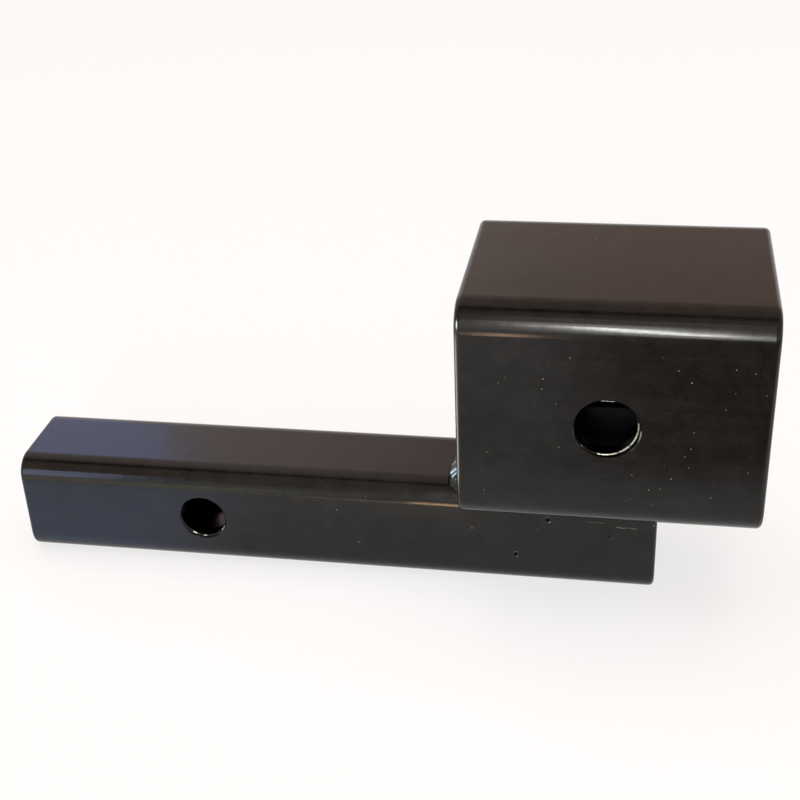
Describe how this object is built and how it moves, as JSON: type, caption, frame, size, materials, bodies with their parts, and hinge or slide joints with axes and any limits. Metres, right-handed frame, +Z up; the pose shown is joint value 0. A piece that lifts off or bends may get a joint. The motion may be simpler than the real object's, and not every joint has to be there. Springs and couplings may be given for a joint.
{
  "type": "hitch receiver adapter",
  "caption": "Square steel shank with a larger open square receiver tube welded across the top of one end, each drilled through for a pin; fits a small hitch receiver to a larger shank.",
  "frame": {"origin": "middle of the pin hole through the shank, on the shank's centre line", "axes": "+X along the shank from its free end towards the open mouth of the receiver tube, +Y along both pin holes to the side away from the viewer of the picture, +Z up from the shank to the receiver tube"},
  "size_m": [0.2129, 0.0636, 0.0953],
  "materials": {
    "tube_paint": "gloss black paint on steel tube, with dust specks, small pits and fine scratches",
    "weld_paint": "gloss black paint over rippled weld beads"
  },
  "bodies": {
    "root": {"shank_tube": "tube_paint", "receiver_tube": "tube_paint", "front_weld": "weld_paint", "rear_weld": "weld_paint", "near_side_weld": "weld_paint", "far_side_weld": "weld_paint"}
  },
  "joints": []
}
